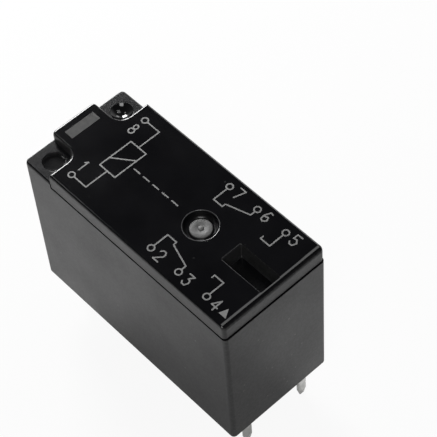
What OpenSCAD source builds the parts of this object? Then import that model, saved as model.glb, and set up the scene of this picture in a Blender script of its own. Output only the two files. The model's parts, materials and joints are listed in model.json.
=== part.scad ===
// Two-pole changeover power relay for a circuit board, in millimetres.
// The cover stands over a moulded base, with a coil and armature at the -X end
// and two sets of contacts at the +X end.
// The origin is the middle of the footprint on the board, +Z is up and the pins point down.

/* [Pins] */
// Distance between the two rows of pins
row_pitch = 7.62; // [7:0.02:8.6]
// Distance from the coil pins to the nearest contact pins
coil_pitch = 15.24; // [13.5:0.02:17]
// Distance between neighbouring contact pins in a row
contact_pitch = 5.08; // [4.5:0.02:6]
// Length of the pins below the board's surface
pin_l = 4.3; // [3:0.1:6]
// Width of a contact pin
pin_w = 1.0; // [0.8:0.05:1.3]
// Thickness of the sheet that the contact terminals are cut from
sheet_t = 0.4; // [0.3:0.02:0.5]
// Side of a square coil pin
coil_pin = 0.55; // [0.45:0.05:0.7]
// Length of the taper at a pin's tip
tip_l = 0.9; // [0.5:0.1:1.4]
// Width of a pin's tip as a share of the pin
tip_share = 0.55; // [0.3:0.05:0.8]

/* [Cover] */
// Height of the cover's top above the board
body_h = 20; // [18:0.1:24]
// Thickness of the side walls
wall = 0.7; // [0.5:0.05:0.9]
// Thickness of the top
top_t = 1.2; // [1:0.05:1.5]
// Height of the cover's rim above the board
rim_lift = 0.2; // [0.1:0.05:0.3]
// Radius of the upright edges
corner_r = 0.5; // [0.45:0.05:0.9]
// Radius of the edge round the top face
top_edge_r = 0.4; // [0.1:0.05:0.4]
// Height of the narrower band below the top face
band_h = 2.15; // [1.8:0.05:2.6]
// How far the band stands back from the wall below it
band_inset = 0.12; // [0.05:0.01:0.2]
// Height of the groove under the band
groove_h = 0.14; // [0.1:0.02:0.2]
// Depth of that groove, measured from the band
groove_d = 0.15; // [0.1:0.01:0.2]

/* [Corner notches] */
// Length of the two notches at the coil end
notch_l = 3.85; // [3.2:0.05:4.6]
// Depth of the notches below the top face
notch_d = 1.2; // [0.9:0.05:1.5]
// Width of the tongue left between the notches
tongue_w = 5.3; // [4.4:0.1:6]
// Radius of a notch's inner corner
notch_r = 1.3; // [0.8:0.1:1.6]
// Radius of the round well in each notch
well_r = 1.15; // [0.9:0.05:1.3]
// Depth of the well
well_d = 0.5; // [0.3:0.05:0.7]
// Distance of the well's centre from the tongue and from the notch's end wall
well_offset = 1.75; // [1.5:0.05:1.9]

/* [Top face] */
// Length of the deep pocket at the contact end
pocket_l = 5.1; // [4:0.1:6]
// Width of the pocket
pocket_w = 2.6; // [2:0.1:3]
// Depth of the pocket
pocket_d = 2.0; // [1.8:0.1:3]
// Thickness of the pocket's sides and floor
pocket_wall = 0.6; // [0.4:0.05:0.8]
// Thickness of the end wall left outside the pocket
pocket_end = 0.55; // [0.4:0.05:0.7]
// Distance of the round moulding mark from the contact end
gate_end = 9.8; // [9.2:0.1:11]
// Radius of the mark's recess
gate_r = 1.9; // [1.5:0.05:2.2]
// Depth of the mark's recess
gate_d = 0.75; // [0.5:0.05:0.9]
// Radius of the disc that stands in the recess
gate_disc_r = 1.24; // [0.9:0.02:1.4]
// How far the disc stays below the top face
gate_disc_drop = 0.45; // [0.25:0.05:0.6]

/* [Base] */
// Height of the base's floor above the board
floor_z = 2.2; // [1.9:0.1:2.8]
// Height of the raised seat under the base
seat_h = 1.0; // [0.8:0.05:1.2]
// Width of the seat under the coil
seat_w = 8.2; // [7.4:0.1:8.8]
// Width of the seat between the contact pins
seat_contact_w = 6.0; // [5:0.1:6.6]
// Width of the seat between the coil pins
seat_tail_w = 4.8; // [4:0.1:5.6]
// Width of the ledge along the sides of the seat
ledge_w = 0.3; // [0.2:0.05:0.45]
// Height of the ledge above the board
ledge_lift = 0.4; // [0.25:0.05:0.6]
// Distance from the coil pins to the wide part of the seat
seat_coil_gap = 1.85; // [1.5:0.05:2.4]
// Radius of the clear space round each contact pin
bite_r = 1.7; // [1.4:0.05:1.9]
// Height of the sealing resin's face above the board
resin_z = 0.5; // [0.35:0.05:0.6]
// Thickness of the wall between the coil and the contacts
wall_in_t = 0.5; // [0.4:0.05:0.7]
// Width of the hollow barrier between the two poles
barrier_w = 2.6; // [2.2:0.1:3]
// Thickness of the barrier's own walls
barrier_t = 0.5; // [0.35:0.05:0.6]
// Distance from the last contact pins to the barrier
barrier_end = 1.0; // [0.8:0.05:1.4]
// Number of ribs across the barrier's hollow
rib_count = 3; // [1:1:5]
// Thickness of those ribs
rib_t = 0.4; // [0.3:0.05:0.6]
// Radius of the ejector pocket beside the barrier
ejector_r = 1.4; // [1.1:0.05:1.5]
// Distance from the barrier's hollow to the ejector pocket
ejector_gap = 0.7; // [0.5:0.05:1]
// Radius of the pocket under the core
core_pocket_r = 1.23; // [1:0.05:1.6]
// Depth of the round pockets in the seat
pocket_seat_d = 0.45; // [0.3:0.05:0.6]
// Radius of the two dimples in the seat
dimple_r = 0.55; // [0.4:0.05:0.7]
// Distance of the dimples behind the core's axis
dimple_back = 1.7; // [1.5:0.05:2.2]
// Distance between the dimples
dimple_pitch = 5.6; // [5:0.1:6.2]
// Distance of the sloped groove in front of the core's axis
slope_front = 3.2; // [2.8:0.1:3.6]
// Length of the sloped groove across the seat
slope_l = 1.2; // [0.8:0.1:1.6]
// Depth of that groove
slope_d = 0.35; // [0.2:0.05:0.5]

/* [Electromagnet] */
// Radius of the core
core_r = 2.4; // [2:0.1:2.6]
// Radius of the core's pole face
shoe_r = 3.2; // [2.8:0.1:3.6]
// Thickness of the pole face's rim
shoe_t = 0.8; // [0.6:0.1:1.2]
// Radius of the core's neck in the yoke
neck_r = 1.6; // [1.3:0.1:1.9]
// Thickness of the yoke
yoke_t = 1.4; // [1.2:0.1:1.6]
// Width of the yoke
yoke_w = 8.0; // [7:0.1:8.8]
// Length of yoke left beyond the neck
yoke_tail = 1.6; // [1.2:0.1:2]
// Thickness of the bobbin's flanges
flange_t = 0.8; // [0.6:0.05:1]
// Thickness of the bobbin's tube
tube_t = 0.6; // [0.4:0.05:0.8]
// Width of flange left outside the winding
flange_lip = 0.5; // [0.3:0.05:0.8]
// Distance from the coil pins to the flange's edge
flange_margin = 0.5; // [0.4:0.05:0.8]
// Number of turns of wire on a coil post
wrap_turns = 3; // [2:1:5]
// Radius of the wire leads
lead_r = 0.12; // [0.08:0.01:0.16]
// Height of the coil posts above the lower flange
post_h = 2.2; // [1.8:0.1:3]

/* [Armature and card] */
// Angle the armature swings through, in degrees
swing = 3.2; // [2.4:0.1:3.6]
// Thickness of the armature
armature_t = 1.2; // [1:0.05:1.3]
// Width of the armature over the core
arm_w = 8.6; // [7.6:0.1:9.4]
// Length of armature beyond the core
arm_overhang = 0.5; // [0.2:0.1:0.9]
// Width of the armature's hanging leg
leg_w = 7.0; // [6.2:0.1:7.6]
// Thickness of the card
card_h = 1.0; // [0.8:0.05:1.2]
// Width of the card's tongue through the wall
tongue_card_w = 3.0; // [2.4:0.1:3.2]
// Thickness of the card's cross bar
bar_t = 0.6; // [0.45:0.05:0.8]
// Width of the card's two arms
card_arm_w = 1.0; // [0.8:0.05:1.2]
// Thickness of the spring leaves
leaf_t = 0.15; // [0.1:0.01:0.2]
// Width of each strip of the hinge spring
strip_w = 1.3; // [1:0.05:1.6]
// Distance of the strips' ends below the yoke's top
strip_drop = 3.0; // [2:0.1:4]
// Height of the hinge spring's foot
foot_h = 2.4; // [1.8:0.1:2.6]
// Radius of the yoke's stakes in that foot
stake_r = 0.5; // [0.4:0.05:0.7]
// Distance between the stakes
stake_pitch = 3.5; // [2.8:0.1:4]

/* [Contacts] */
// Width of the contact terminals' blades
blade_w = 3.0; // [2.6:0.1:3.4]
// Width of the moving springs
spring_w = 2.4; // [2:0.1:2.8]
// Radius of the moving contacts
contact_r = 1.2; // [1:0.05:1.3]
// Radius of the fixed contacts
fixed_r = 1.3; // [1.1:0.05:1.4]
// Height of a contact's head
head_h = 0.6; // [0.5:0.05:0.75]
// Height of the dome on a moving contact
dome_h = 0.2; // [0.15:0.01:0.25]
// Radius of the contacts' shanks
shank_r = 0.6; // [0.45:0.05:0.7]
// Height of the riveted tail behind a fixed contact
tail_h = 0.25; // [0.15:0.05:0.35]
// Distance of the contacts below the yoke's top
contact_drop = 1.5; // [1:0.1:2]
// Length of blade above a contact's centre
blade_over = 1.4; // [1.4:0.05:1.7]
// Height of a terminal's step above the floor
jog_h = 2.6; // [2.2:0.1:3]
// Height of the common blades above the floor
com_h = 2.2; // [1.8:0.1:2.6]

/* [Clearances] */
// Gap round a piece that is fitted into another
fit_gap = 0.05; // [0.02:0.01:0.08]
// Gap between the pins and the cover's end wall
pin_wall_gap = 0.1; // [0.08:0.01:0.2]
// Gap between the blades and the cover's side walls
side_gap = 0.39; // [0.2:0.01:0.6]
// Gap between the bobbin and the cover's side walls
flange_gap = 0.2; // [0.1:0.05:0.3]
// Gap between the bobbin and the cover's end wall
coil_end_gap = 1.0; // [0.6:0.1:1.5]
// Gap between the armature and the yoke's top edge
hinge_gap = 0.05; // [0.03:0.01:0.08]
// Gap between the armature's leg and the yoke
leg_gap = 0.15; // [0.1:0.01:0.25]
// Room for the leg's swing in front of the wall
leg_room = 0.7; // [0.65:0.05:0.9]
// Gap between the card and what it slides in
guide_gap = 0.08; // [0.05:0.01:0.12]
// Gap between the card and what it pushes
push_gap = 0.05; // [0.03:0.01:0.08]
// Gap between contacts that are closed
contact_gap = 0.03; // [0.02:0.01:0.06]
// Gap between the armature's tip and the cover
headroom = 0.3; // [0.2:0.05:0.5]
// Gap between the wall and the first contact terminals
nc_gap = 0.4; // [0.3:0.05:0.6]
// Gap between the barrier's top and the pocket above it
barrier_gap = 0.2; // [0.1:0.05:0.4]

/* [Hidden] */
$fn = 64;
hull_fn = 32;
over = 1;

row_y = row_pitch / 2;
end_margin = wall + pin_wall_gap + sheet_t / 2;
coil_margin = wall + coil_end_gap + flange_margin;
side_margin = wall + side_gap + blade_w / 2;
body_l = coil_margin + coil_pitch + 2 * contact_pitch + end_margin;
body_w = row_pitch + 2 * side_margin;
inner_l = body_l - 2 * wall;
inner_w = body_w - 2 * wall;
end_x = body_l / 2;
no_x = end_x - end_margin;
com_x = no_x - contact_pitch;
nc_x = com_x - contact_pitch;
coil_pin_x = nc_x - coil_pitch;

parting_z = body_h - band_h;
notch_z = body_h - notch_d;
notch_x = notch_l - end_x;
ceiling_z = body_h - top_t;
low_ceiling_z = notch_z - top_t;
well_x = notch_x - well_offset;
well_y = tongue_w / 2 + well_offset;
pocket_x1 = end_x - pocket_end;
pocket_x0 = pocket_x1 - pocket_l;
boss_z = body_h - pocket_d - pocket_wall;
gate_x = end_x - gate_end;

wall_x1 = nc_x - sheet_t / 2 - nc_gap;
wall_x0 = wall_x1 - wall_in_t;
leg_x1 = wall_x0 - leg_room;
leg_x0 = leg_x1 - armature_t;
yoke_x1 = leg_x0 - leg_gap;
yoke_x0 = yoke_x1 - yoke_t;
flange_x0 = coil_pin_x - flange_margin;
flange_x1 = yoke_x0 - flange_gap;
flange_l = flange_x1 - flange_x0;
flange_w = inner_w - 2 * flange_gap;
coil_x = (flange_x0 + flange_x1) / 2;
tube_r = core_r + fit_gap + tube_t;
winding_r = min(flange_l, flange_w) / 2 - flange_lip;

arm_l = yoke_x1 - coil_x + core_r + arm_overhang;
arm_rise = arm_l * sin(swing) + armature_t * cos(swing) + hinge_gap;
yoke_z = low_ceiling_z - headroom - arm_rise;
coil_z0 = floor_z + yoke_t;
coil_z1 = yoke_z - shoe_t - fit_gap;
post_z = coil_z0 + flange_t + post_h;
lead_z = post_z - post_h / 2;
wrap_r0 = coil_pin * sqrt(2) / 2 + fit_gap;
wrap_r1 = wrap_r0 + 2 * lead_r;
wrap_h = wrap_turns * 2 * lead_r;

com_z = floor_z + com_h;
contact_z = yoke_z - contact_drop;
blade_z = contact_z + blade_over;
jog_z = floor_z + jog_h;
card_z = (com_z + contact_z) / 2;
card_z0 = card_z - card_h / 2;
leg_z = card_z0 - 2 * guide_gap;
card_travel = (yoke_z - card_z0) * tan(swing);
spring_swing = atan(card_travel / (card_z0 - com_z));
contact_travel = (contact_z - com_z) * sin(spring_swing);

leaf_x1 = com_x - sheet_t / 2 - fit_gap;
leaf_x0 = leaf_x1 - leaf_t;
nc_blade_x = leaf_x0 - 2 * head_h - contact_gap - sheet_t / 2;
no_blade_x = leaf_x1 + 2 * head_h + contact_gap + contact_travel + sheet_t / 2;

card_x0 = leg_x1 + push_gap;
bar_x0 = wall_x1 + guide_gap;
bar_x1 = bar_x0 + bar_t;
card_x1 = leaf_x0 - push_gap;
barrier_x0 = bar_x1 + card_travel + guide_gap;
barrier_x1 = no_x - barrier_end;
barrier_z = boss_z - barrier_gap;
hollow_x0 = barrier_x0 + barrier_t;
hollow_x1 = barrier_x1 - barrier_t;
hollow_w = barrier_w - 2 * barrier_t;

seat_x0 = coil_pin_x + seat_coil_gap;
seat_x1 = nc_x - bite_r - ledge_w;
seat_tail_x = coil_pin_x;
seat_end_x = no_x - sheet_t;
ejector_x = hollow_x0 - ejector_gap - ejector_r;
slope_x = coil_x + slope_front;
dimple_x = coil_x - dimple_back;

foot_z1 = leg_z - 2 * leaf_t;
foot_z0 = foot_z1 - foot_h;
stake_z = (foot_z0 + foot_z1) / 2;
strip_x0 = leg_x1 + push_gap;
strip_z = yoke_z - strip_drop;

front = -1;
rear = 1;

// Block between two corners
module block(low, high) {
  translate(low) cube(high - low);
}

// Outline with round corners, centred on the origin
module round_outline(l, w, r) {
  hull()
    for (sx = [-1, 1], sy = [-1, 1])
      translate([sx * (l / 2 - r), sy * (w / 2 - r)]) circle(r, $fn = hull_fn);
}

// Upright post with a rounded upper edge
module soft_post(r, h, edge) {
  rotate_extrude($fn = hull_fn) {
    square([r - edge, h]);
    square([r, h - edge]);
    intersection() {
      translate([r - edge, h - edge]) circle(edge, $fn = hull_fn);
      square([r, h]);
    }
  }
}

// Side profile in x and z, given a width across y
module across(width) {
  rotate([90, 0, 0]) linear_extrude(width, center = true) children();
}

// Round pin along +X that starts at x = 0
module along_x(r, h) {
  rotate([0, 90, 0]) cylinder(r = r, h = h);
}

// Pin of a rectangular section, tapered at its lower end on all four sides
module tapered_pin(tx, wy, top) {
  intersection() {
    across(wy) pin_outline(tx, top);
    rotate([0, 0, 90]) across(tx) pin_outline(wy, top);
  }
}

module pin_outline(w, top) {
  tip = w * tip_share / 2;
  polygon([
    [-tip, -pin_l], [tip, -pin_l], [w / 2, tip_l - pin_l],
    [w / 2, top], [-w / 2, top], [-w / 2, tip_l - pin_l]
  ]);
}

// Space cut away for one corner notch, seen from above
module notch_outline(side) {
  hull() {
    translate([notch_x - notch_r, side * (tongue_w / 2 + notch_r)]) circle(notch_r, $fn = hull_fn);
    translate([-body_l, side * (tongue_w + body_w) / 2]) square([1, body_w], center = true);
    translate([notch_x - body_l / 2, side * body_w]) square([body_l, 1], center = true);
  }
}

module cover_outside() {
  translate([0, 0, rim_lift])
    linear_extrude(parting_z - rim_lift) round_outline(body_l, body_w, corner_r);
  intersection() {
    translate([0, 0, rim_lift])
      linear_extrude(notch_z - rim_lift) round_outline(body_l, body_w, corner_r);
    block([-body_l, -body_w, 0], [notch_x, body_w, body_h]);
  }
  difference() {
    translate([0, 0, parting_z - over]) hull() {
      for (sx = [-1, 1], sy = [-1, 1])
        translate([
          sx * (end_x - band_inset - corner_r),
          sy * (body_w / 2 - band_inset - corner_r), 0
        ])
          soft_post(corner_r, band_h + over, top_edge_r);
    }
    for (side = [front, rear])
      translate([0, 0, notch_z]) linear_extrude(notch_d + over) notch_outline(side);
  }
}

module cover_cavity() {
  low_y = (tongue_w + body_w) / 2 - wall;
  difference() {
    block([-inner_l / 2, -inner_w / 2, rim_lift - over], [inner_l / 2, inner_w / 2, ceiling_z]);
    for (side = [front, rear])
      translate([notch_x + wall - body_l / 2, side * low_y, low_ceiling_z + body_h / 2])
        cube([body_l, body_w, body_h], center = true);
    block(
      [pocket_x0 - pocket_wall, -pocket_w / 2 - pocket_wall, boss_z],
      [body_l, pocket_w / 2 + pocket_wall, body_h]
    );
  }
}

module band_groove() {
  depth = band_inset + groove_d;
  translate([0, 0, parting_z]) linear_extrude(groove_h) difference() {
    translate([notch_x, -body_w]) square([body_l, 2 * body_w]);
    round_outline(body_l - 2 * depth, body_w - 2 * depth, corner_r - groove_d);
  }
}

module gate_mark() {
  translate([gate_x, 0, body_h - gate_d]) difference() {
    cylinder(r = gate_r, h = gate_d + over);
    translate([0, 0, -over]) cylinder(r = gate_disc_r, h = gate_d - gate_disc_drop + over);
  }
}

module cover() {
  color([0.12, 0.12, 0.13]) difference() {
    cover_outside();
    cover_cavity();
    band_groove();
    gate_mark();
    block([pocket_x0, -pocket_w / 2, body_h - pocket_d], [pocket_x1, pocket_w / 2, body_h + over]);
    for (side = [front, rear])
      translate([well_x, side * well_y, notch_z - well_d]) cylinder(r = well_r, h = well_d + over);
  }
}

// Outline of the raised seat, grown by g
module seat_outline(g) {
  difference() {
    union() {
      translate([seat_x0 - g, -seat_w / 2 - g]) square([seat_x1 - seat_x0 + 2 * g, seat_w + 2 * g]);
      translate([seat_tail_x - g, -seat_tail_w / 2 - g])
        square([seat_x0 - seat_tail_x + 2 * g, seat_tail_w + 2 * g]);
      translate([seat_x1 - g, -seat_contact_w / 2 - g])
        square([seat_end_x - seat_x1 + 2 * g, seat_contact_w + 2 * g]);
    }
    for (x = [nc_x, com_x, no_x], side = [front, rear])
      translate([x, side * row_y]) circle(bite_r - g);
  }
}

module ledge_outline(g) {
  translate([seat_x0 - g, -seat_w / 2 - ledge_w - g])
    square([seat_x1 - seat_x0 + 2 * g, seat_w + 2 * ledge_w + 2 * g]);
}

// Openings for all the pins, wider than the pins by g on each side
module pin_openings(g) {
  for (side = [front, rear]) {
    for (x = [nc_x, com_x])
      translate([x, side * row_y]) square([sheet_t + 2 * g, pin_w + 2 * g], center = true);
    translate([no_x - sheet_t / 2 - g, side * row_y - pin_w / 2 - g]) square([body_l, pin_w + 2 * g]);
    translate([coil_pin_x, side * row_y]) square(coil_pin + 2 * g, center = true);
  }
}

module base_blocks() {
  half_l = inner_l / 2 - fit_gap;
  half_w = inner_w / 2 - fit_gap;
  cheek_y = yoke_w / 2 + fit_gap + wall_in_t / 2;
  cheek_h = coil_z0 - seat_h - fit_gap;
  linear_extrude(seat_h + over / 2) seat_outline(0);
  translate([0, 0, ledge_lift]) linear_extrude(seat_h - ledge_lift + over / 2) ledge_outline(0);
  block([-half_l, -half_w, seat_h], [half_l, half_w, floor_z]);
  block([wall_x0, -half_w, seat_h], [wall_x1, half_w, yoke_z + armature_t]);
  block([barrier_x0, -barrier_w / 2, seat_h], [barrier_x1, barrier_w / 2, barrier_z]);
  for (side = [front, rear])
    translate([coil_x, side * cheek_y, seat_h + cheek_h / 2])
      cube([2 * core_r, wall_in_t, cheek_h], center = true);
}

// Hollow inside the barrier, with ribs that reach half way across it
module barrier_hollow() {
  pitch = (hollow_x1 - hollow_x0 + rib_t) / (rib_count + 1);
  translate([0, 0, -over]) linear_extrude(barrier_z - barrier_t + over) difference() {
    translate([hollow_x0, -hollow_w / 2]) square([hollow_x1 - hollow_x0, hollow_w]);
    for (i = [1:rib_count])
      translate([hollow_x0 + i * pitch - rib_t, -hollow_w / 2 - over]) square([rib_t, hollow_w / 2 + over]);
  }
}

// Round pocket in the seat with a stub left in its middle
module seat_pocket(x, r, stub_r) {
  translate([x, 0, -over]) difference() {
    cylinder(r = r, h = pocket_seat_d + over);
    translate([0, 0, over + pocket_seat_d / 3]) cylinder(r = stub_r, h = over);
  }
}

module base() {
  color([0.15, 0.15, 0.16]) difference() {
    base_blocks();
    barrier_hollow();
    translate([0, 0, -over]) linear_extrude(floor_z + 2 * over) pin_openings(fit_gap);
    seat_pocket(ejector_x, ejector_r, dimple_r / 2);
    seat_pocket(coil_x, core_pocket_r, dimple_r);
    for (side = [front, rear])
      translate([dimple_x, side * dimple_pitch / 2, -over])
        cylinder(r = dimple_r, h = pocket_seat_d + over);
    across(seat_w - ledge_w)
      polygon([[slope_x, -over], [slope_x, slope_d], [slope_x - slope_l, 0], [slope_x - slope_l, -over]]);
    block(
      [wall_x0 - over / 4, -tongue_card_w / 2 - guide_gap, card_z0 - guide_gap],
      [wall_x1 + over / 4, tongue_card_w / 2 + guide_gap, card_z0 + card_h + guide_gap]
    );
  }
}

module sealing_resin() {
  color([0.06, 0.06, 0.065])
    translate([0, 0, resin_z]) linear_extrude(seat_h - resin_z - fit_gap / 2) difference() {
      square([inner_l - fit_gap, inner_w - fit_gap], center = true);
      seat_outline(fit_gap);
      ledge_outline(fit_gap);
      for (x = [nc_x, com_x, no_x], side = [front, rear])
        translate([x, side * row_y]) square([sheet_t + fit_gap, pin_w + fit_gap], center = true);
      for (side = [front, rear])
        translate([coil_pin_x, side * row_y]) square(coil_pin + fit_gap, center = true);
    }
}

module yoke() {
  color([0.72, 0.72, 0.7]) difference() {
    union() {
      block(
        [coil_x - neck_r - yoke_tail, -yoke_w / 2, floor_z],
        [yoke_x1, yoke_w / 2, floor_z + yoke_t]
      );
      block([yoke_x0, -yoke_w / 2, floor_z], [yoke_x1, yoke_w / 2, yoke_z]);
      for (side = [front, rear])
        translate([yoke_x1 - over / 2, side * stake_pitch / 2, stake_z])
          along_x(stake_r, over / 2 + 2 * leaf_t);
    }
    translate([coil_x, 0, floor_z - over]) cylinder(r = neck_r + fit_gap, h = yoke_t + 2 * over);
  }
}

module core() {
  color([0.78, 0.78, 0.76]) translate([coil_x, 0, 0]) {
    translate([0, 0, floor_z]) cylinder(r = neck_r, h = yoke_t + over);
    translate([0, 0, coil_z0]) cylinder(r = core_r, h = yoke_z - coil_z0);
    translate([0, 0, yoke_z - shoe_t]) cylinder(r = shoe_r, h = shoe_t);
  }
}

module bobbin() {
  color([0.2, 0.24, 0.22]) difference() {
    union() {
      for (z = [coil_z0, coil_z1 - flange_t])
        block([flange_x0, -flange_w / 2, z], [flange_x1, flange_w / 2, z + flange_t]);
      translate([coil_x, 0, coil_z0]) cylinder(r = tube_r, h = coil_z1 - coil_z0);
    }
    translate([coil_x, 0, coil_z0 - over])
      cylinder(r = core_r + fit_gap, h = coil_z1 - coil_z0 + 2 * over);
    for (side = [front, rear])
      translate([coil_pin_x, side * row_y, coil_z0])
        linear_extrude(2 * flange_t + over, center = true) square(coil_pin + 2 * fit_gap, center = true);
  }
}

// Lead from the winding to the wire wrapped on one post
module winding_lead(side) {
  reach = norm([coil_pin_x - coil_x, row_y]) - wrap_r1 - winding_r + 4 * lead_r;
  turn = atan2(side * row_y, coil_pin_x - coil_x);
  translate([coil_x, 0, lead_z]) rotate([0, 0, turn])
    translate([winding_r - 2 * lead_r, 0, 0]) along_x(lead_r, reach);
  translate([coil_pin_x, side * row_y, lead_z]) difference() {
    cylinder(r = wrap_r1, h = wrap_h, center = true);
    cylinder(r = wrap_r0, h = wrap_h + over, center = true);
  }
}

module winding() {
  z0 = coil_z0 + flange_t + fit_gap;
  h = coil_z1 - flange_t - fit_gap - z0;
  color([0.72, 0.4, 0.2]) {
    translate([coil_x, 0, z0]) difference() {
      cylinder(r = winding_r, h = h);
      translate([0, 0, -over]) cylinder(r = tube_r + fit_gap, h = h + 2 * over);
    }
    for (side = [front, rear]) winding_lead(side);
  }
}

module coil_terminal(side) {
  color([0.82, 0.82, 0.8])
    translate([coil_pin_x, side * row_y, 0]) tapered_pin(coil_pin, coil_pin, post_z);
}

// Profile of the armature at rest, measured from the yoke's top edge; its arm is tipped up by the swing
function tipped(u, v) = [v * sin(swing) - u * cos(swing), v * cos(swing) + u * sin(swing)];
function level_at(x, v) = [x, (v - x * sin(swing)) / cos(swing)];

module armature() {
  inner = leg_gap;
  outer = leg_gap + armature_t;
  arm = [
    level_at(inner, hinge_gap),
    tipped(arm_l, hinge_gap),
    tipped(arm_l, hinge_gap + armature_t),
    level_at(outer, hinge_gap + armature_t)
  ];
  color([0.75, 0.75, 0.72]) translate([yoke_x1, 0, yoke_z]) {
    across(arm_w) polygon(concat(arm, [[outer, -armature_t], [inner, -armature_t]]));
    across(leg_w) polygon(concat(arm, [[outer, leg_z - yoke_z], [inner, leg_z - yoke_z]]));
  }
}

// Leaf staked to the yoke, with two strips that press on the armature's leg
module hinge_spring() {
  foot_x = yoke_x1 + fit_gap;
  color([0.8, 0.62, 0.35]) difference() {
    union() {
      block([foot_x, -leg_w / 2, foot_z0], [foot_x + leaf_t, leg_w / 2, foot_z1]);
      for (side = [front, rear]) {
        translate([0, side * (leg_w - strip_w) / 2, 0]) {
          block([foot_x, -strip_w / 2, foot_z1 - leaf_t], [strip_x0 + leaf_t, strip_w / 2, foot_z1]);
          block([strip_x0, -strip_w / 2, foot_z1 - leaf_t], [strip_x0 + leaf_t, strip_w / 2, strip_z]);
        }
      }
    }
    for (side = [front, rear])
      translate([yoke_x1 - over, side * stake_pitch / 2, stake_z])
        along_x(stake_r + fit_gap, 2 * over);
  }
}

module card() {
  arm_y = row_y + card_arm_w / 2;
  color([0.55, 0.5, 0.4]) translate([0, 0, card_z0]) linear_extrude(card_h) {
    translate([card_x0, -tongue_card_w / 2]) square([bar_x1 - card_x0, tongue_card_w]);
    translate([bar_x0, -arm_y]) square([bar_t, 2 * arm_y]);
    for (side = [front, rear])
      translate([bar_x0, side * row_y - card_arm_w / 2]) square([card_x1 - bar_x0, card_arm_w]);
  }
}

// Pin, shoulder, step and blade of a terminal whose blade stands at another x than its pin
module stepped_terminal(pin_x, blade_x) {
  half_t = sheet_t / 2;
  half_w = blade_w / 2;
  translate([pin_x, 0, 0]) tapered_pin(sheet_t, pin_w, floor_z + sheet_t);
  block([pin_x - half_t, -half_w, floor_z], [pin_x + half_t, half_w, jog_z + sheet_t]);
  block(
    [min(pin_x, blade_x) - half_t, -half_w, jog_z],
    [max(pin_x, blade_x) + half_t, half_w, jog_z + sheet_t]
  );
  block([blade_x - half_t, -half_w, jog_z], [blade_x + half_t, half_w, blade_z]);
}

module shank_hole(x) {
  translate([x - over, 0, contact_z]) along_x(shank_r + fit_gap, 2 * over);
}

module nc_terminal(side) {
  window_w = card_arm_w + 4 * guide_gap;
  window_h = card_h + 4 * guide_gap;
  color([0.83, 0.76, 0.62]) translate([0, side * row_y, 0]) difference() {
    stepped_terminal(nc_x, nc_blade_x);
    shank_hole(nc_blade_x);
    translate([nc_blade_x, 0, card_z]) cube([2 * over, window_w, window_h], center = true);
  }
}

module no_terminal(side) {
  color([0.83, 0.76, 0.62]) translate([0, side * row_y, 0]) difference() {
    stepped_terminal(no_x, no_blade_x);
    shank_hole(no_blade_x);
  }
}

module com_terminal(side) {
  half_t = sheet_t / 2;
  color([0.83, 0.76, 0.62]) translate([com_x, side * row_y, 0]) {
    tapered_pin(sheet_t, pin_w, floor_z + sheet_t);
    block([-half_t, -blade_w / 2, floor_z], [half_t, blade_w / 2, com_z]);
  }
}

// Rivet with a flat head towards +X from the blade at x = 0, and its tail behind the blade
module fixed_contact() {
  translate([-sheet_t / 2 - tail_h, 0, 0]) along_x(shank_r + tail_h, tail_h);
  translate([-sheet_t / 2 - tail_h, 0, 0]) along_x(shank_r, tail_h + sheet_t + head_h);
  translate([sheet_t / 2, 0, 0]) along_x(fixed_r, head_h);
}

module nc_contact(side) {
  color([0.88, 0.88, 0.86]) translate([nc_blade_x, side * row_y, contact_z]) fixed_contact();
}

module no_contact(side) {
  color([0.88, 0.88, 0.86])
    translate([no_blade_x, side * row_y, contact_z]) mirror([1, 0, 0]) fixed_contact();
}

module moving_spring(side) {
  color([0.8, 0.6, 0.35]) translate([0, side * row_y, 0]) difference() {
    block([leaf_x0, -spring_w / 2, floor_z + leaf_t], [leaf_x1, spring_w / 2, blade_z]);
    shank_hole(leaf_x0);
  }
}

// Domed head towards +X
module domed_head() {
  ball_r = (contact_r * contact_r + dome_h * dome_h) / (2 * dome_h);
  rotate([0, 90, 0]) rotate_extrude() intersection() {
    square([contact_r, head_h]);
    translate([0, head_h - ball_r]) circle(ball_r);
  }
}

module moving_contact(side) {
  color([0.9, 0.9, 0.88]) translate([0, side * row_y, contact_z]) {
    translate([leaf_x1, 0, 0]) domed_head();
    translate([leaf_x0, 0, 0]) mirror([1, 0, 0]) domed_head();
    translate([leaf_x0 - head_h / 2, 0, 0]) along_x(shank_r, leaf_t + head_h);
  }
}

cover();
base();
sealing_resin();
yoke();
core();
bobbin();
winding();
coil_terminal(front);  // coil_terminal_front
coil_terminal(rear);  // coil_terminal_rear
armature();
hinge_spring();
card();
nc_terminal(front);  // nc_terminal_front
nc_contact(front);  // nc_contact_front
com_terminal(front);  // com_terminal_front
moving_spring(front);  // moving_spring_front
moving_contact(front);  // moving_contact_front
no_terminal(front);  // no_terminal_front
no_contact(front);  // no_contact_front
nc_terminal(rear);  // nc_terminal_rear
nc_contact(rear);  // nc_contact_rear
com_terminal(rear);  // com_terminal_rear
moving_spring(rear);  // moving_spring_rear
moving_contact(rear);  // moving_contact_rear
no_terminal(rear);  // no_terminal_rear
no_contact(rear);  // no_contact_rear
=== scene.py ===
import json
import math

import bmesh
import bpy
import numpy as np
from mathutils import Matrix, Vector
from mathutils.geometry import delaunay_2d_cdt


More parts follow.
